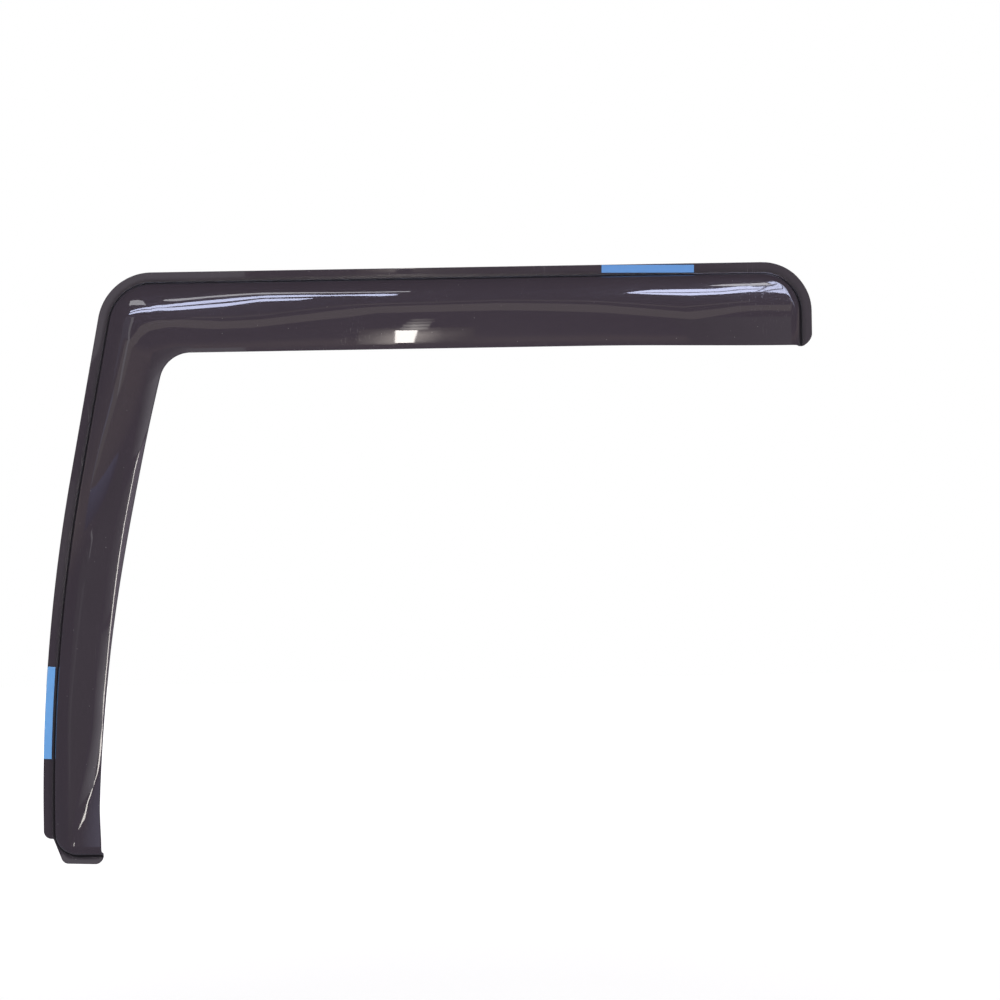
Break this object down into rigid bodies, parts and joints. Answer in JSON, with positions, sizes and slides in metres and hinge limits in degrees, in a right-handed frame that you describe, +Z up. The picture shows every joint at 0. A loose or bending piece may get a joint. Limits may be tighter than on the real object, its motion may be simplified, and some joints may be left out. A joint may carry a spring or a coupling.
{
  "type": "window rain deflector",
  "caption": "L-shaped smoked acrylic visor for a car door window: a crowned hood over the top and front edges of the glass, on a flat flange that tucks into the window channel.",
  "frame": {"origin": "on the rear face of the top flange, at mid length and mid width of that flange", "axes": "+X runs along the top edge away from the front pillar, +Y points from the visor to the window and the door, +Z is up along the window's surface"},
  "size_m": [0.8415, 0.028, 0.6402],
  "materials": {
    "smoked_acrylic": "glossy smoked acrylic sheet, dark brown-violet, with very fine handling scratches",
    "foam_tape": "dark grey closed-cell acrylic foam, matte cut edges",
    "release_film": "light blue polyethylene release film, satin"
  },
  "bodies": {
    "root": {"visor_panel": "smoked_acrylic", "top_tape": "foam_tape", "front_tape": "foam_tape", "top_tape_film": "release_film", "front_tape_film": "release_film"}
  },
  "joints": []
}
